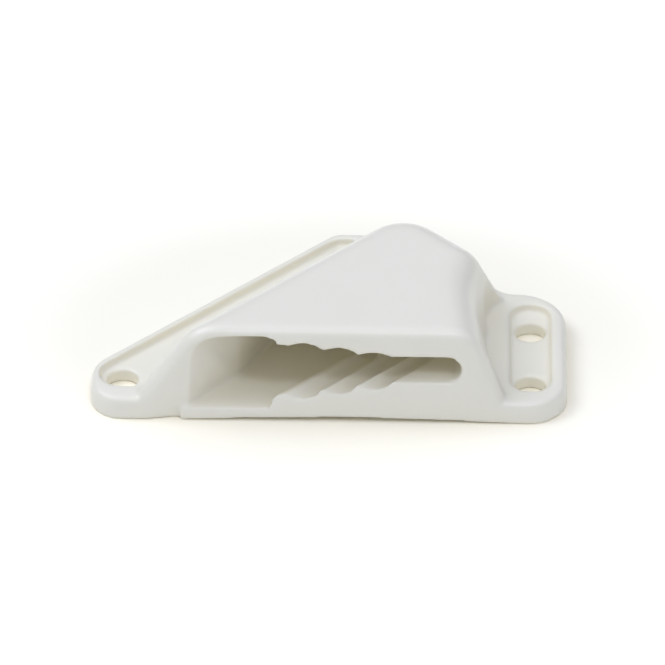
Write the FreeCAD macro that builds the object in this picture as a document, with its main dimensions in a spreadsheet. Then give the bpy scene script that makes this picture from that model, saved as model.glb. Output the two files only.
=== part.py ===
import FreeCAD, Part, Sketcher
import math
import os

doc = FreeCAD.newDocument("line_cleat")

# Sizes of the cleat, in millimetres and degrees. X runs along the front from the tip to the
# wide end, Y runs back and Z up from the surface that the cleat is screwed to. Places along Y
# are measured from the front edge.
sheet = doc.addObject("Spreadsheet::Sheet", "sizes")
SIZES = [
    # The base plate.
    ("plate_length", 82.0),
    ("plate_depth", 52.2),
    ("plate_thick", 4.0),
    ("wall_draft", 4.6),
    ("tip_side", 11.4),
    ("end_cut", 17.9),
    ("waist_in", 10.5),
    ("tip_front_round", 5.8),
    ("tip_back_round", 6.0),
    ("back_left_round", 3.0),
    ("back_right_round", 6.0),
    ("waist_round", 4.4),
    ("end_back_round", 8.5),
    ("end_front_round", 7.0),
    ("rim_round", 1.2),
    ("arch_width", 55.0),
    ("arch_height", 0.8),
    ("arch_in", 37.5),
    ("arch_reach", 12.0),
    ("gate_radius", 1.5),
    ("gate_depth", 0.6),
    # Screw holes and the sunk lands round them.
    ("screw_bore", 5.3),
    ("land_depth", 1.5),
    ("land_reach", 4.0),
    ("tip_hole_in", 5.5),
    ("tip_hole_front", 8.6),
    ("back_hole_in", 6.2),
    ("end_hole_in", 6.4),
    ("end_hole_front", 8.1),
    ("end_hole_back", 10.2),
    ("end_land_half", 3.5),
    ("end_land_round", 3.2),
    ("end_land_back", 6.2),
    ("driver_room", 8.2),
    # The hood over the line passage.
    ("hood_height", 18.0),
    ("hood_foot_level", 2.0),
    ("side_band", 15.3),
    ("side_run", 10.4),
    ("exit_band", 1.2),
    ("exit_run", 12.6),
    ("flank_front", 9.2),
    ("flank_back", 8.0),
    ("flank_run", 7.4),
    ("scoop_in", 16.4),
    ("scoop_past_hole", -2.1),
    ("scoop_reach", 10.0265),
    ("scoop_top_start", 9.0),
    ("scoop_top_end", 1.2),
    ("hood_round", 5.8),
    ("apex_round", 9.0),
    ("front_round", 2.0),
    # The line passage under the hood.
    ("floor_level", 2.5),
    ("roof_wall", 1.8),
    ("mouth_in", 11.8),
    ("mouth_width", 14.9),
    ("mouth_run", 9.9),
    ("mouth_depth", 10.2),
    ("bend_run", 14.7),
    ("passage_foot_wall", 6.3),
    ("passage_top_wall", 2.2),
    ("corner_drop", 4.0),
    ("corner_reach", 4.5),
    ("exit_width", 4.4),
    ("jaw_depth", 13.0),
    # The flare round the mouth.
    ("flare_depth", 1.1),
    ("flare_foot", 6.2),
    ("flare_top", 0.6),
    ("flare_slope", 64.0),
    ("flare_round", 7.5),
    # The toothed slot between the two jaws.
    ("slot_in", 1.75),
    ("slot_low_left", 4.75),
    ("slot_low_right", 8.26),
    ("slot_high_left", 15.3),
    ("slot_high_right", 12.35),
    ("slot_lead", 1.6),
    ("slot_end_length", 13.25),
    ("slot_end_lap", 0.3),
    ("slot_end_middle", 10.45),
    ("slot_end_height", 4.9),
    ("slot_end_depth", 9.5),
    ("slot_end_round", 2.3),
    ("jaw_round", 1.6),
    ("tooth_angle", 45.0),
    ("tooth_pitch", 6.1),
    ("tooth_count", 3),
    ("low_tooth_in", 14.6),
    ("low_tooth_radius", 2.2),
    ("low_tooth_depth", 1.45),
    ("high_tooth_in", 15.3),
    ("high_tooth_radius", 2.9),
    ("high_tooth_depth", 0.85),
]
for row, (name, size) in enumerate(SIZES, start=1):
    sheet.set(f"A{row}", name)
    sheet.set(f"B{row}", str(size))
    sheet.setAlias(f"B{row}", name)
doc.recompute()

body = doc.addObject("PartDesign::Body", "hood_form")


def number(formula):
    """The value of a formula over the sheet."""
    return float(body.evalExpression(formula))


def point(x, y, z="0"):
    """A point placed by three formulas."""
    return FreeCAD.Vector(number(x), number(y), number(z))


def new_sketch(name, role, offset):
    """An empty sketch on one of the body's planes, moved along the plane's normal."""
    sketch = body.newObject("Sketcher::SketchObject", name)
    plane = next(plane for plane in body.Origin.OriginFeatures if plane.Role == role)
    sketch.AttachmentSupport = [(plane, "")]
    sketch.MapMode = "FlatFace"
    sketch.setExpression("AttachmentOffset.Base.z", offset)
    return sketch


def bind(sketch, kind, *args):
    """A constraint of a sketch whose value is the formula given last."""
    row = sketch.addConstraint(Sketcher.Constraint(kind, *args[:-1], number(args[-1])))
    sketch.setExpression(f"Constraints[{row}]", args[-1])


def outline(name, role, offset, corners):
    """A closed outline. Each corner is an x formula, a y formula and, where it is round, a radius."""
    sketch = new_sketch(name, role, offset)
    places = [point(corner[0], corner[1]) for corner in corners]
    count = len(corners)
    for here, there in zip(places, places[1:] + places[:1]):
        sketch.addGeometry(Part.LineSegment(here, there), True)
    for side in range(count):
        sketch.addConstraint(Sketcher.Constraint("Coincident", side, 2, (side + 1) % count, 1))
        bind(sketch, "DistanceX", -1, 1, side, 1, corners[side][0])
        bind(sketch, "DistanceY", -1, 1, side, 1, corners[side][1])
    starts = []
    ends = []
    arcs = {}
    for corner in range(count):
        here = places[corner]
        before = (places[corner - 1] - here).normalize()
        after = (places[(corner + 1) % count] - here).normalize()
        if len(corners[corner]) == 2:
            ends.append(here)
            starts.append(here)
            continue
        radius = number(corners[corner][2])
        half = before.getAngle(after) / 2
        reach = radius / math.tan(half)
        ends.append(here + before * reach)
        starts.append(here + after * reach)
        middle = here + (before + after).normalize() * math.hypot(reach, radius)
        angles = [math.atan2(end.y - middle.y, end.x - middle.x) for end in (ends[-1], starts[-1])]
        left_turn = before.cross(after).z < 0
        if not left_turn:
            angles.reverse()
        circle = Part.Circle(middle, FreeCAD.Vector(0, 0, 1), radius)
        arcs[corner] = (Part.ArcOfCircle(circle, *angles), 1 if left_turn else 2)
    for corner in range(count):
        side = sketch.addGeometry(Part.LineSegment(starts[corner], ends[(corner + 1) % count]), False)
        for end in (1, 2):
            sharp = len(corners[(corner + end - 1) % count]) == 2
            if sharp:
                sketch.addConstraint(Sketcher.Constraint("Coincident", side, end, corner, end))
            else:
                sketch.addConstraint(Sketcher.Constraint("PointOnObject", side, end, corner))
    for corner, (arc, first) in arcs.items():
        row = sketch.addGeometry(arc, False)
        side = count + corner
        last_side = count + (corner - 1) % count
        sketch.addConstraint(Sketcher.Constraint("Tangent", last_side, 2, row, first))
        sketch.addConstraint(Sketcher.Constraint("Tangent", side, 1, row, 3 - first))
        bind(sketch, "Radius", row, corners[corner][2])
    return sketch


def pad(name, sketch, length):
    """A pad of a sketch along its normal."""
    feature = body.newObject("PartDesign::Pad", name)
    feature.Profile = sketch
    feature.setExpression("Length", length)
    return feature


def pocket(name, sketch, length, away=False):
    """A pocket of a sketch against its normal, or along it."""
    feature = body.newObject("PartDesign::Pocket", name)
    feature.Profile = sketch
    feature.setExpression("Length", length)
    feature.Reversed = away
    return feature


def circles(name, role, offset, places, radius):
    """A sketch of equal circles on one of the body's planes."""
    sketch = new_sketch(name, role, offset)
    for x, y in places:
        circle = Part.Circle(point(x, y), FreeCAD.Vector(0, 0, 1), number(radius))
        row = sketch.addGeometry(circle, False)
        bind(sketch, "DistanceX", -1, 1, row, 3, x)
        bind(sketch, "DistanceY", -1, 1, row, 3, y)
        bind(sketch, "Radius", row, radius)
    return sketch


def round_edges(name, base, radius, places):
    """A fillet of the edges that lie nearest to the given points."""
    doc.recompute()
    edges = base.Shape.Edges
    names = []
    for place in places:
        vertex = Part.Vertex(place)
        gaps = [edge.distToShape(vertex)[0] for edge in edges]
        found = f"Edge{gaps.index(min(gaps)) + 1}"
        if found not in names:
            names.append(found)
    feature = body.newObject("PartDesign::Fillet", name)
    feature.Base = (base, names)
    feature.setExpression("Radius", radius)
    return feature


def round_where(name, base, radius, test):
    """A fillet of the edges whose ends and middle all pass a test."""
    doc.recompute()
    names = []
    for row, edge in enumerate(base.Shape.Edges, start=1):
        first, last = edge.ParameterRange
        if all(test(edge.valueAt(place)) for place in (first, (first + last) / 2, last)):
            names.append(f"Edge{row}")
    feature = body.newObject("PartDesign::Fillet", name)
    feature.Base = (base, names)
    feature.setExpression("Radius", radius)
    return feature


TIP_X = "(-sizes.plate_length / 2)"
END_X = "(sizes.plate_length / 2)"
END_SIDE = "(sizes.plate_depth - sizes.end_cut)"
WAIST_X = f"({END_X} - sizes.waist_in)"
APEX_LEFT_X = f"({TIP_X} + sizes.plate_depth - sizes.tip_side)"
APEX_RIGHT_X = f"({WAIST_X} - sizes.end_cut)"
TIP_HOLE_X = f"({TIP_X} + sizes.tip_hole_in)"
BACK_HOLE_Y = "(sizes.plate_depth - sizes.back_hole_in)"
BACK_HOLE_X = f"({TIP_HOLE_X} + {BACK_HOLE_Y} - sizes.tip_hole_front)"
END_HOLE_X = f"({END_X} - sizes.end_hole_in)"
END_HOLE_BACK_Y = f"({END_SIDE} - sizes.end_hole_back)"
HOOD_FOOT_LINE = f"(sizes.tip_side - {TIP_X} - sizes.side_band)"
HOOD_TOP_LINE = f"({HOOD_FOOT_LINE} - sizes.side_run)"
EXIT_FOOT_LINE = f"({WAIST_X} + {END_SIDE} - sizes.exit_band)"
EXIT_TOP_LINE = f"({EXIT_FOOT_LINE} - sizes.exit_run)"
FLANK_TOP_X = f"({END_X} - sizes.flank_front - sizes.flank_run)"
MOUTH_X = f"(sizes.mouth_in - {HOOD_FOOT_LINE})"
SLOT_END_X = f"({FLANK_TOP_X} - sizes.slot_in)"
JAW_X = f"({MOUTH_X} + sizes.mouth_width)"
WEDGE_END_X = f"({SLOT_END_X} - sizes.slot_end_length)"
SLOT_START_X = f"({JAW_X} - sizes.slot_lead)"

# Cutting shapes start ahead of the front face and run on past the faces where they come out.
BEFORE = "-2"
PAST = "1"
PAST_EXIT = "2"
PAST_JAW = "0.2"


def front_at(level):
    """How far the drafted front wall leans back at a level."""
    return f"({level}) * tan(sizes.wall_draft * 1deg)"


def crossing(rising, falling):
    """The corner where the line y = x + rising meets the line y = falling - x."""
    return (f"(({falling}) - ({rising})) / 2", f"(({falling}) + ({rising})) / 2")


# The hood: flat on top, with walls that spread towards the plate and a scooped right side.
foot_front = front_at("sizes.hood_foot_level")
top_front = front_at("sizes.hood_height")
scoop_y = f"({END_HOLE_BACK_Y} + sizes.scoop_past_hole)"
scoop_x = f"({END_X} - sizes.scoop_in)"
flank_foot_back = f"({END_X} - sizes.flank_back)"
flank_foot_front = f"({END_X} - sizes.flank_front)"
flank_foot_y = f"({EXIT_FOOT_LINE} - {flank_foot_back})"
back_turn = f"atan(({flank_foot_y} - {scoop_y}) / ({flank_foot_back} - {scoop_x}))"
front_turn = f"atan(({scoop_y} - {foot_front}) / ({flank_foot_front} - {scoop_x}))"
top_exit_y = f"({EXIT_TOP_LINE} - {FLANK_TOP_X})"
hood_foot = outline(
    "hood_foot",
    "XY_Plane",
    "sizes.hood_foot_level",
    [
        (scoop_x, scoop_y, f"sizes.scoop_reach * tan(({back_turn} + {front_turn}) / 2)"),
        (flank_foot_back, flank_foot_y),
        crossing(HOOD_FOOT_LINE, EXIT_FOOT_LINE),
        (f"{foot_front} - {HOOD_FOOT_LINE}", foot_front),
        (flank_foot_front, foot_front),
    ],
)
hood_top = outline(
    "hood_top",
    "XY_Plane",
    "sizes.hood_height",
    [
        (FLANK_TOP_X, f"{top_exit_y} - sizes.scoop_top_end"),
        (FLANK_TOP_X, top_exit_y),
        crossing(HOOD_TOP_LINE, EXIT_TOP_LINE),
        (f"{top_front} - {HOOD_TOP_LINE}", top_front),
        (FLANK_TOP_X, top_front),
        (FLANK_TOP_X, f"{scoop_y} - sizes.scoop_top_start"),
    ],
)
hood = body.newObject("PartDesign::AdditiveLoft", "hood")
hood.Profile = hood_top
hood.Sections = [hood_foot]
hood.Ruled = True
foot_apex = point(*crossing(HOOD_FOOT_LINE, EXIT_FOOT_LINE), "sizes.hood_foot_level")
top_apex = point(*crossing(HOOD_TOP_LINE, EXIT_TOP_LINE), "sizes.hood_height")
foot_exit = point(flank_foot_back, f"{EXIT_FOOT_LINE} - {flank_foot_back}", "sizes.hood_foot_level")
top_exit = point(FLANK_TOP_X, top_exit_y, "sizes.hood_height")
top_tip = point(f"{top_front} - {HOOD_TOP_LINE}", top_front, "sizes.hood_height")
top_flank = point(FLANK_TOP_X, top_front, "sizes.hood_height")
soft_apex = round_edges("hood_apex", hood, "sizes.apex_round", [(foot_apex + top_apex) / 2])
soft_hood = round_edges(
    "hood_shoulders", soft_apex, "sizes.hood_round",
    [
        (foot_exit + top_exit) / 2,
        (top_apex + top_tip) / 2,
        (top_apex + top_exit) / 2,
        point(FLANK_TOP_X, f"{top_exit_y} - sizes.scoop_top_end / 2", "sizes.hood_height"),
        point(FLANK_TOP_X, f"{scoop_y} - sizes.scoop_top_start + 1", "sizes.hood_height"),
        point(FLANK_TOP_X, f"{scoop_y} - sizes.scoop_top_start - 1", "sizes.hood_height"),
    ],
)
body.Tip = round_edges("hood_front_edge", soft_hood, "sizes.front_round", [(top_tip + top_flank) / 2])
hood_form = body

# The base plate: a long front edge, a slanting back left side and a slanting exit side.
body = doc.addObject("PartDesign::Body", "cleat_body")
body.Label = "cleat_body"
plate_outline = outline(
    "plate_outline",
    "XY_Plane",
    "0",
    [
        (TIP_X, "0"),
        (END_X, "0"),
        (END_X, END_SIDE),
        (WAIST_X, END_SIDE),
        (APEX_RIGHT_X, "sizes.plate_depth"),
        (APEX_LEFT_X, "sizes.plate_depth"),
        (TIP_X, "sizes.tip_side"),
    ],
)
plate = pad("plate", plate_outline, "sizes.plate_thick")
plate.setExpression("TaperAngle", "-sizes.wall_draft")
plate_corners = [
    ("tip_front", "tip_front_round", TIP_X, "0"),
    ("tip_back", "tip_back_round", TIP_X, "sizes.tip_side"),
    ("back_left", "back_left_round", APEX_LEFT_X, "sizes.plate_depth"),
    ("back_right", "back_right_round", APEX_RIGHT_X, "sizes.plate_depth"),
    ("waist", "waist_round", WAIST_X, END_SIDE),
    ("end_back", "end_back_round", END_X, END_SIDE),
    ("end_front", "end_front_round", END_X, "0"),
]
tip = plate
for corner, radius, x, y in plate_corners:
    tip = round_edges(f"{corner}_corner", tip, f"sizes.{radius}", [point(x, y, "sizes.plate_thick / 2")])
plate_top = number("sizes.plate_thick")
round_where("rim_edge", tip, "sizes.rim_round", lambda spot: abs(spot.z - plate_top) < 1e-4)

# The underside is arched a little along the front, and the wide end has the mark of the gate.
ARCH_ROUND = "(sizes.arch_width ^ 2 / sizes.arch_height / 8)"
arch_middle = (f"{END_X} - sizes.arch_in", f"sizes.arch_height - {ARCH_ROUND}")
arch = circles("arch_outline", "XZ_Plane", PAST, [arch_middle], ARCH_ROUND)
pocket("front_arch", arch, f"sizes.arch_reach + {PAST}")
gate_middle = (f"{END_X} + sizes.gate_radius - sizes.gate_depth", f"{END_SIDE} / 2")
gate = circles("gate_outline", "XY_Plane", "sizes.plate_thick", [gate_middle], "sizes.gate_radius")
pocket("gate_mark", gate, f"sizes.plate_thick + {PAST}")

# The sunk land along the back left side, with a screw hole at each end.
land_line = f"(sizes.tip_hole_front - {TIP_HOLE_X} + sizes.land_reach * 2 ^ 0.5)"
land_front = "(sizes.tip_hole_front - sizes.land_reach)"
land_right = f"({BACK_HOLE_X} + sizes.land_reach)"
side_land = outline(
    "side_land",
    "XY_Plane",
    "sizes.plate_thick",
    [
        (f"{land_front} - {land_line}", land_front, "sizes.land_reach"),
        (f"{land_front} - {HOOD_TOP_LINE}", land_front),
        (land_right, f"{land_right} + {HOOD_TOP_LINE}"),
        (land_right, f"{land_right} + {land_line}", "sizes.land_reach"),
    ],
)
pocket("side_land_recess", side_land, "sizes.land_depth")

# The sunk land at the wide end, round its two screw holes.
end_land_front = "sizes.end_hole_front - sizes.end_land_half"
end_land_back = f"{END_HOLE_BACK_Y} + sizes.end_land_back"
end_land = outline(
    "end_land",
    "XY_Plane",
    "sizes.plate_thick",
    [
        (f"{END_HOLE_X} - sizes.end_land_half", end_land_front, "sizes.end_land_round"),
        (f"{END_HOLE_X} + sizes.end_land_half", end_land_front, "sizes.end_land_round"),
        (f"{END_HOLE_X} + sizes.end_land_half", end_land_back, "sizes.end_land_round"),
        (f"{END_HOLE_X} - sizes.end_land_half", end_land_back, "sizes.end_land_round"),
    ],
)
pocket("end_land_recess", end_land, "sizes.land_depth")
doc.recompute()

# The hood and the plate are one moulding.
joined = body.newObject("PartDesign::Boolean", "hood_on_plate")
joined.setObjects([hood_form])
joined.Type = "Fuse"
body.Tip = joined
doc.recompute()

# The line passage: in at the mouth, back past the jaws and out of the exit side. Its left wall
# curves over into the roof.
roof_level = "(sizes.hood_height - sizes.roof_wall)"
passage_foot = f"({HOOD_FOOT_LINE} - sizes.passage_foot_wall)"
passage_top = f"({HOOD_TOP_LINE} - sizes.passage_top_wall)"
inner_right = f"(({EXIT_FOOT_LINE} - {passage_foot}) / 2 + sizes.exit_width)"
bend_x = f"({MOUTH_X} + sizes.bend_run)"
mouth_bend_x = f"({MOUTH_X} + sizes.mouth_run)"


def passage_outline(name, level, wall, roof):
    """The passage at a level, with its left side a share of the way to the foot or to the roof."""
    def left(foot, top, inwards):
        return f"({top} + ({foot} - ({top})) * ({wall}) + {inwards} * ({roof}) * sizes.corner_reach)"
    rise = f"({level} - sizes.hood_foot_level) / (sizes.hood_height - sizes.hood_foot_level)"
    beyond = f"({EXIT_FOOT_LINE} + {PAST_EXIT} - sizes.exit_run * {rise})"
    mouth_foot = f"({MOUTH_X} + ({BEFORE}) * sizes.mouth_run / sizes.mouth_depth)"
    return outline(
        name,
        "XY_Plane",
        level,
        [
            (f"{BEFORE} + {JAW_X}", BEFORE),
            (f"sizes.jaw_depth + {JAW_X}", "sizes.jaw_depth"),
            (inner_right, "sizes.jaw_depth"),
            (inner_right, f"{beyond} - {inner_right}"),
            crossing(left(passage_foot, passage_top, "-1"), beyond),
            (bend_x, left(f"({bend_x} + {passage_foot})", f"({bend_x} + {passage_top})", "-1")),
            (mouth_bend_x, left("sizes.mouth_depth", f"({mouth_bend_x} + {passage_top})", "-1")),
            (left(mouth_foot, f"({BEFORE} - {passage_top})", "1"), BEFORE),
        ],
    )


drop_share = f"sizes.corner_drop / ({roof_level} - sizes.floor_level)"
sections = [passage_outline("passage_floor", "sizes.floor_level", "1", "0")]
CURVE_STEPS = 3
for step in range(CURVE_STEPS + 1):
    up = f"({step} / {CURVE_STEPS})"
    sections.append(passage_outline(
        f"passage_curve_{step}",
        f"({roof_level} - sizes.corner_drop * (1 - {up}) ^ 2)",
        f"{drop_share} * (1 - {up}) ^ 2",
        f"{up} ^ 2",
    ))
passage = body.newObject("PartDesign::SubtractiveLoft", "passage")
passage.Profile = sections[0]
passage.Sections = sections[1:]
passage.Ruled = True

# The flare: a shallow band round the mouth that sinks from the front face towards the opening.
flare_profiles = []
for name, ahead in (("front", "1"), ("back", "-1")):
    left = f"({MOUTH_X} - sizes.flare_foot * (1 + {ahead}))"
    head = f"({roof_level} + sizes.flare_top * (1 + {ahead}))"
    sketch = outline(
        f"flare_{name}",
        "XZ_Plane",
        f"({ahead}) * sizes.flare_depth",
        [
            (f"{left} + ({BEFORE}) / tan(sizes.flare_slope * 1deg)", BEFORE),
            (MOUTH_X, BEFORE),
            (MOUTH_X, "sizes.floor_level"),
            (JAW_X, "sizes.floor_level"),
            (JAW_X, head),
            (f"{left} + {head} / tan(sizes.flare_slope * 1deg)", head, "sizes.flare_round"),
        ],
    )
    lean = FreeCAD.Rotation(FreeCAD.Vector(-1, 0, 0), number("sizes.wall_draft"))
    sketch.AttachmentOffset = FreeCAD.Placement(sketch.AttachmentOffset.Base, lean)
    sketch.setExpression("AttachmentOffset.Rotation.Angle", "sizes.wall_draft * 1deg")
    flare_profiles.append(sketch)
flare = body.newObject("PartDesign::SubtractiveLoft", "flare")
flare.Profile = flare_profiles[0]
flare.Sections = [flare_profiles[1]]
flare.Ruled = True

# The slot between the jaws narrows towards a round end, and runs back at the angle of the teeth.
SLANT = "tan(sizes.tooth_angle * 1deg)"
slot_profiles = []
end_profiles = []
for name, depth in (("front", BEFORE), ("back", f"sizes.jaw_depth + {PAST_JAW}")):
    shift = f"({depth}) / {SLANT}"
    slot_profiles.append(outline(
        f"slot_{name}",
        "XZ_Plane",
        f"-({depth})",
        [
            (f"{SLOT_START_X} + {shift}", "sizes.slot_low_left"),
            (f"{WEDGE_END_X} + {shift}", "sizes.slot_low_right"),
            (f"{WEDGE_END_X} + {shift}", "sizes.slot_high_right"),
            (f"{SLOT_START_X} + {shift}", "sizes.slot_high_left"),
        ],
    ))
slot = body.newObject("PartDesign::SubtractiveLoft", "slot")
slot.Profile = slot_profiles[0]
slot.Sections = [slot_profiles[1]]
slot.Ruled = True

# The nose of the lower jaw is rounded, where the line slides over it into the slot.
nose_y = "sizes.jaw_depth / 2"
nose_x = f"({JAW_X} + {nose_y})"
nose_share = f"({nose_x} - {nose_y} / {SLANT} - {SLOT_START_X}) / ({WEDGE_END_X} - {SLOT_START_X})"
nose_level = f"sizes.slot_low_left + (sizes.slot_low_right - sizes.slot_low_left) * {nose_share}"
round_edges("jaw_nose", slot, "sizes.jaw_round", [point(nose_x, nose_y, nose_level)])

# The slot's round end.
for name, depth in (("front", BEFORE), ("back", "sizes.slot_end_depth")):
    left = f"{WEDGE_END_X} - sizes.slot_end_lap + ({depth}) / {SLANT}"
    end_profiles.append(outline(
        f"slot_end_{name}",
        "XZ_Plane",
        f"-({depth})",
        [
            (left, "sizes.slot_end_middle - sizes.slot_end_height / 2"),
            (SLOT_END_X, "sizes.slot_end_middle - sizes.slot_end_height / 2",
             "sizes.slot_end_round"),
            (SLOT_END_X, "sizes.slot_end_middle + sizes.slot_end_height / 2",
             "sizes.slot_end_round"),
            (left, "sizes.slot_end_middle + sizes.slot_end_height / 2"),
        ],
    ))
slot_end = body.newObject("PartDesign::SubtractiveLoft", "slot_end")
slot_end.Profile = end_profiles[0]
slot_end.Sections = [end_profiles[1]]
slot_end.Ruled = True

# Teeth: round grooves across both jaws, slanting back towards the exit.


def teeth(name, level, x, radius, axis, reverse):
    """A row of grooves whose centres start at a place on the front face and follow a jaw."""
    sketch = new_sketch(f"{name}_tooth_outline", "XZ_Plane", f"-({BEFORE})")
    turn = FreeCAD.Rotation(FreeCAD.Vector(0, -1, 0), number("sizes.tooth_angle"))
    sketch.AttachmentOffset = FreeCAD.Placement(sketch.AttachmentOffset.Base, turn)
    sketch.setExpression("AttachmentOffset.Rotation.Angle", "sizes.tooth_angle * 1deg")
    sketch.setExpression("AttachmentOffset.Base.x", f"{x} + ({BEFORE}) / tan(sizes.tooth_angle * 1deg)")
    circle = Part.Circle(point("0", level), FreeCAD.Vector(0, 0, 1), number(radius))
    row = sketch.addGeometry(circle, False)
    sketch.addConstraint(Sketcher.Constraint("PointOnObject", row, 3, -2))
    bind(sketch, "DistanceY", -1, 1, row, 3, level)
    bind(sketch, "Radius", row, radius)
    reach = f"(sizes.jaw_depth - ({BEFORE})) / sin(sizes.tooth_angle * 1deg)"
    groove = pocket(f"{name}_tooth", sketch, reach)
    doc.recompute()
    row = body.newObject("PartDesign::LinearPattern", f"{name}_teeth")
    row.Originals = [groove]
    row.Direction = (slot_profiles[0], [axis])
    row.Reversed = reverse
    row.setExpression("Length", "sizes.tooth_pitch * (sizes.tooth_count - 1)")
    row.setExpression("Occurrences", "sizes.tooth_count")
    body.Tip = row


def along(left, right, x):
    """The height of a jaw line at a place along the slot."""
    share = f"(({x}) - {SLOT_START_X}) / ({WEDGE_END_X} - {SLOT_START_X})"
    return f"({left} + ({right} - {left}) * {share})"


LOW_TOOTH_X = f"({WEDGE_END_X} - sizes.low_tooth_in)"
HIGH_TOOTH_X = f"({WEDGE_END_X} - sizes.high_tooth_in)"
low_line = along("sizes.slot_low_left", "sizes.slot_low_right", LOW_TOOTH_X)
high_line = along("sizes.slot_high_left", "sizes.slot_high_right", HIGH_TOOTH_X)
low_middle = f"{low_line} + sizes.low_tooth_radius - sizes.low_tooth_depth"
high_middle = f"{high_line} - sizes.high_tooth_radius + sizes.high_tooth_depth"
teeth("low", low_middle, LOW_TOOTH_X, "sizes.low_tooth_radius", "Axis0", False)
teeth("high", high_middle, HIGH_TOOTH_X, "sizes.high_tooth_radius", "Axis2", True)

# Room for a screwdriver beside the hood, and the four screw holes.
driver = circles("driver_outline", "XY_Plane", "sizes.plate_thick", [(END_HOLE_X, END_HOLE_BACK_Y)],
                 "sizes.driver_room")
pocket("driver_space", driver, "sizes.hood_height", away=True)
hole_places = [
    (TIP_HOLE_X, "sizes.tip_hole_front"),
    (BACK_HOLE_X, BACK_HOLE_Y),
    (END_HOLE_X, "sizes.end_hole_front"),
    (END_HOLE_X, END_HOLE_BACK_Y),
]
holes = circles("screw_holes", "XY_Plane", "sizes.plate_thick", hole_places, "sizes.screw_bore / 2")
body.Tip = pocket("screw_bores", holes, f"sizes.plate_thick + {PAST}")

body.setExpression("Placement.Base.y", "-sizes.plate_depth / 2")
doc.recompute()

for item in doc.Objects:
    if "Invalid" in item.State or "Error" in item.State:
        raise RuntimeError(f"{item.Name} did not build")
if body.Shape.isNull() or not body.Shape.isValid() or len(body.Shape.Solids) != 1:
    raise RuntimeError("the cleat is not one sound solid")
os.makedirs("parts", exist_ok=True)
body.Shape.exportStep(f"parts/{body.Label}.step")
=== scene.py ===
import math

import bpy
from mathutils import Matrix, Vector

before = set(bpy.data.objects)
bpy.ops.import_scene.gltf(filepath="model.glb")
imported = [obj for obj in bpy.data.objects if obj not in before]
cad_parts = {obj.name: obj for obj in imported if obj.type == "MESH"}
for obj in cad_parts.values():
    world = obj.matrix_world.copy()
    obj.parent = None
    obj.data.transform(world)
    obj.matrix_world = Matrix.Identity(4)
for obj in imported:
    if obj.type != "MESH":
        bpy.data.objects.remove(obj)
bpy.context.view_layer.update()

# The cleat: one piece of off-white nylon, moulded in a polished tool and held to the deck by four
# screws. All its edges are softly broken, as such a tool leaves them. Here a fine remesh of the
# solid and a few steps of smoothing do that.
WELD_GAP = 0.000001
VOXEL_SIZE = 0.00038
RELAX_SHARE = 0.5
RELAX_STEPS = 6

# What shows on the nylon: slow waves about a centimetre wide, where the plastic flowed, and a fine
# grain. The real grain is too fine to show, so it is drawn half a millimetre wide.
FLOW_SIZE = 0.011
FLOW_HEIGHT = 0.0004
FLOW_BUMP = 0.05
GRAIN_SIZE = 0.0005
GRAIN_HEIGHT = 0.00004
GRAIN_BUMP = 0.03
GLOSSIEST = 0.29
DULLEST = 0.36
NYLON_IOR = 1.53
NYLON_PALE = "EBEAE4"
NYLON_CREAM = "E8E7E0"
# Painted warm shade: the tan colour given to light that has already bounced off the nylon.
PAINTED_SHADE_TAN = "F1E9CC"
LIGHT_DEPTH = 0.001


def linear(hex_colour):
    """A linear colour with alpha from an sRGB hex value such as "E3E3E1"."""
    shares = [int(hex_colour[place:place + 2], 16) / 255 for place in (0, 2, 4)]
    return (*[x / 12.92 if x <= 0.04045 else ((x + 0.055) / 1.055) ** 2.4 for x in shares], 1.0)


def add_node(tree, kind, settings=None, sockets=None, links=None):
    """A node with its properties, the values of its sockets and the outputs linked to its inputs."""
    node = tree.nodes.new(kind)
    for name, value in (settings or {}).items():
        setattr(node, name, value)
    for name, value in (sockets or {}).items():
        node.inputs[name].default_value = value
    for name, output in (links or {}).items():
        tree.links.new(output, node.inputs[name])
    return node


def new_material(name):
    """An empty node material, with its tree and its output node."""
    material = bpy.data.materials.new(name)
    material.use_nodes = True
    tree = material.node_tree
    tree.nodes.clear()
    return material, tree, add_node(tree, "ShaderNodeOutputMaterial")


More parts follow.
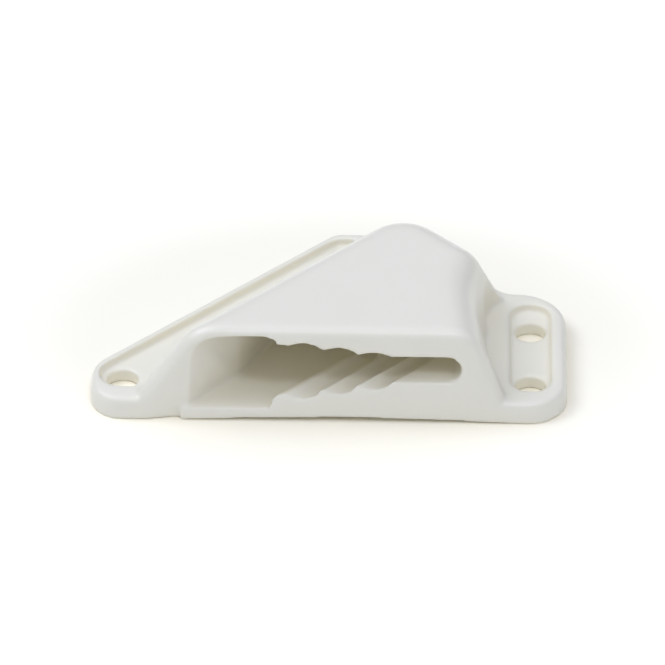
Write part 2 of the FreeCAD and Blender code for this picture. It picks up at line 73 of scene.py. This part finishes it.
def moulded_nylon():
    """Nylon out of a polished mould. Its low gloss drifts a little and keeps it from looking like glass.

    Light goes about a millimetre into it, which softens its shadows. Its colour turns tan for light
    that has already bounced off it: painted warm shade, which makes the inside of the passage look tan.
    """
    material, tree, output = new_material("moulded_nylon")
    place = add_node(tree, "ShaderNodeTexCoord").outputs["Object"]
    flow = add_node(tree, "ShaderNodeTexNoise", sockets={"Scale": 1 / FLOW_SIZE, "Detail": 3.0},
                    links={"Vector": place})
    grain = add_node(tree, "ShaderNodeTexNoise", sockets={"Scale": 1 / GRAIN_SIZE, "Detail": 2.0},
                     links={"Vector": place})
    tone = add_node(tree, "ShaderNodeMix", settings={"data_type": "RGBA"},
                    sockets={6: linear(NYLON_PALE), 7: linear(NYLON_CREAM)},
                    links={"Factor": flow.outputs["Fac"]})
    # Painted warm shade: bounced light takes the tan colour, so the shade inside the passage turns tan.
    bounces = add_node(tree, "ShaderNodeLightPath").outputs["Diffuse Depth"]
    shade_tinted = add_node(tree, "ShaderNodeMix", settings={"data_type": "RGBA"},
                      sockets={7: linear(PAINTED_SHADE_TAN)},
                      links={"Factor": bounces, 6: tone.outputs[2]})
    gloss = add_node(tree, "ShaderNodeMapRange", sockets={"To Min": GLOSSIEST, "To Max": DULLEST},
                     links={"Value": flow.outputs["Fac"]})
    waves = add_node(tree, "ShaderNodeBump", sockets={"Strength": FLOW_BUMP, "Distance": FLOW_HEIGHT},
                     links={"Height": flow.outputs["Fac"]})
    skin = add_node(tree, "ShaderNodeBump", sockets={"Strength": GRAIN_BUMP, "Distance": GRAIN_HEIGHT},
                    links={"Height": grain.outputs["Fac"], "Normal": waves.outputs["Normal"]})
    nylon = add_node(
        tree, "ShaderNodeBsdfPrincipled",
        sockets={"IOR": NYLON_IOR, "Subsurface Weight": 0.08, "Subsurface Scale": LIGHT_DEPTH,
                 "Subsurface Radius": (1.0, 0.9, 0.6)},
        links={"Base Color": shade_tinted.outputs[2], "Roughness": gloss.outputs["Result"],
               "Normal": skin.outputs["Normal"]},
    )
    tree.links.new(nylon.outputs["BSDF"], output.inputs["Surface"])
    return material


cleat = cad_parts["cleat_body"]
cleat.data.materials.clear()
cleat.data.materials.append(moulded_nylon())
cleat.data.polygons.foreach_set("use_smooth", [True] * len(cleat.data.polygons))
merge = cleat.modifiers.new("merge", "WELD")
merge.merge_threshold = WELD_GAP
soften = cleat.modifiers.new("soften", "REMESH")
soften.mode = "VOXEL"
soften.voxel_size = VOXEL_SIZE
soften.use_smooth_shade = True
relax = cleat.modifiers.new("relax", "SMOOTH")
relax.factor = RELAX_SHARE
relax.iterations = RELAX_STEPS

# The table: plain, white and matt. The camera sees it a little brighter than it is lit, so that
# it turns to pure white a short way from the cleat and still keeps the cleat's soft shadow. That
# lift grows from nothing to all of it between two ovals round the cleat, slimmer from front to back.
TABLE_SIZE = 6.0
TABLE_DROP = 0.00002
TABLE_WHITE = "FEFCF5"
SEEN_LIFT = 0.22
LIFT_START = 0.038
LIFT_FULL = 0.085
LIFT_STRETCH = (1.0, 1.5, 0.0)


def white_table():
    """A matt white sheet, with the small lift that only the camera and reflections see."""
    material, tree, output = new_material("white_table")
    seen = add_node(tree, "ShaderNodeLightPath")
    matt = add_node(tree, "ShaderNodeBsdfDiffuse", sockets={"Color": linear(TABLE_WHITE)})
    looking = add_node(tree, "ShaderNodeMath", settings={"operation": "MAXIMUM"},
                       links={0: seen.outputs["Is Camera Ray"], 1: seen.outputs["Is Glossy Ray"]})
    place = add_node(tree, "ShaderNodeTexCoord").outputs["Object"]
    oval = add_node(tree, "ShaderNodeVectorMath", settings={"operation": "MULTIPLY"},
                    sockets={1: LIFT_STRETCH}, links={0: place})
    away = add_node(tree, "ShaderNodeVectorMath", settings={"operation": "LENGTH"},
                    links={0: oval.outputs["Vector"]})
    share = add_node(tree, "ShaderNodeMapRange", settings={"interpolation_type": "SMOOTHSTEP"},
                     sockets={"From Min": LIFT_START, "From Max": LIFT_FULL, "To Max": SEEN_LIFT},
                     links={"Value": away.outputs["Value"]})
    lift = add_node(tree, "ShaderNodeMath", settings={"operation": "MULTIPLY"},
                    links={0: looking.outputs["Value"], 1: share.outputs["Result"]})
    glow = add_node(tree, "ShaderNodeEmission", links={"Strength": lift.outputs["Value"]})
    both = add_node(tree, "ShaderNodeAddShader",
                    links={0: matt.outputs["BSDF"], 1: glow.outputs["Emission"]})
    tree.links.new(both.outputs["Shader"], output.inputs["Surface"])
    return material


half = TABLE_SIZE / 2
sheet = bpy.data.meshes.new("table")
sheet.from_pydata(
    [(x, y, -TABLE_DROP) for x, y in ((-half, -half), (half, -half), (half, half), (-half, half))],
    [], [(0, 1, 2, 3)],
)
sheet.materials.append(white_table())
table = bpy.data.objects.new("table", sheet)
bpy.context.scene.collection.objects.link(table)

# The studio: a pale room that is brightest overhead, as under a wide soft box. Its soft key light
# stands to the left, a small one high in front lights the teeth, and a weak one fills the front.
ROOM_SIDE = 0.17
ROOM_TOP = 1.1
COOL_WHITE = "F8FAFF"


def pale_room():
    """The room's light grows with the square of the height. The camera sees plain white."""
    world = bpy.data.worlds.new("studio")
    world.use_nodes = True
    tree = world.node_tree
    tree.nodes.clear()
    seen = add_node(tree, "ShaderNodeLightPath")
    place = add_node(tree, "ShaderNodeTexCoord").outputs["Generated"]
    height = add_node(tree, "ShaderNodeSeparateXYZ", links={0: place}).outputs["Z"]
    square = add_node(tree, "ShaderNodeMath", settings={"operation": "MULTIPLY"},
                      links={0: height, 1: height})
    level = add_node(tree, "ShaderNodeMath", settings={"operation": "MULTIPLY_ADD"},
                     sockets={1: ROOM_TOP - ROOM_SIDE, 2: ROOM_SIDE},
                     links={0: square.outputs["Value"]})
    room = add_node(tree, "ShaderNodeBackground", sockets={"Color": linear(COOL_WHITE)},
                    links={"Strength": level.outputs["Value"]})
    white = add_node(tree, "ShaderNodeBackground",
                     sockets={"Color": linear("FFFFFF"), "Strength": 1.0})
    sky = add_node(tree, "ShaderNodeMixShader",
                   links={"Fac": seen.outputs["Is Camera Ray"], 1: room.outputs["Background"],
                          2: white.outputs["Background"]})
    add_node(tree, "ShaderNodeOutputWorld", links={"Surface": sky.outputs["Shader"]})
    return world


def soft_light(name, place, size, power):
    """A square soft light that faces the cleat."""
    lamp = bpy.data.lights.new(name, "AREA")
    lamp.shape = "SQUARE"
    lamp.size = size
    lamp.energy = power
    lamp.color = linear(COOL_WHITE)[:3]
    holder = bpy.data.objects.new(name, lamp)
    holder.location = place
    holder.rotation_mode = "QUATERNION"
    holder.rotation_quaternion = (-Vector(place)).to_track_quat("-Z", "Y")
    bpy.context.scene.collection.objects.link(holder)


bpy.context.scene.world = pale_room()
soft_light("key", place=(-0.55, 0.05, 0.75), size=0.5, power=2.8)
soft_light("front_top", place=(0.15, -0.45, 0.8), size=0.12, power=1.2)
soft_light("front_fill", place=(0.35, -0.85, 0.25), size=0.35, power=0.45)

# The camera stands far off to the front, a little to the right, and looks down on the cleat
# through a long lens, as in the photograph.
CAMERA_AIM = Vector((0.00016, 0.00054, 0.0))
CAMERA_AZIMUTH = math.radians(1.3)
CAMERA_ELEVATION = math.radians(35.2)
CAMERA_DISTANCE = 1.0217
SENSOR_WIDTH = 36.0
LENS_LENGTH = 316.7
NEAREST_SEEN = 0.01
FARTHEST_SEEN = 20.0

lens = bpy.data.cameras.new("camera")
lens.sensor_width = SENSOR_WIDTH
lens.lens = LENS_LENGTH
lens.clip_start = NEAREST_SEEN
lens.clip_end = FARTHEST_SEEN
towards_camera = Vector((
    math.sin(CAMERA_AZIMUTH) * math.cos(CAMERA_ELEVATION),
    -math.cos(CAMERA_AZIMUTH) * math.cos(CAMERA_ELEVATION),
    math.sin(CAMERA_ELEVATION),
))
across = Vector((0, 0, 1)).cross(towards_camera).normalized()
turned = Matrix((across, towards_camera.cross(across), towards_camera)).transposed().to_4x4()
camera = bpy.data.objects.new("camera", lens)
camera.matrix_world = Matrix.Translation(CAMERA_AIM + towards_camera * CAMERA_DISTANCE) @ turned
bpy.context.scene.collection.objects.link(camera)
bpy.context.scene.camera = camera
bpy.context.scene.view_settings.view_transform = "Standard"
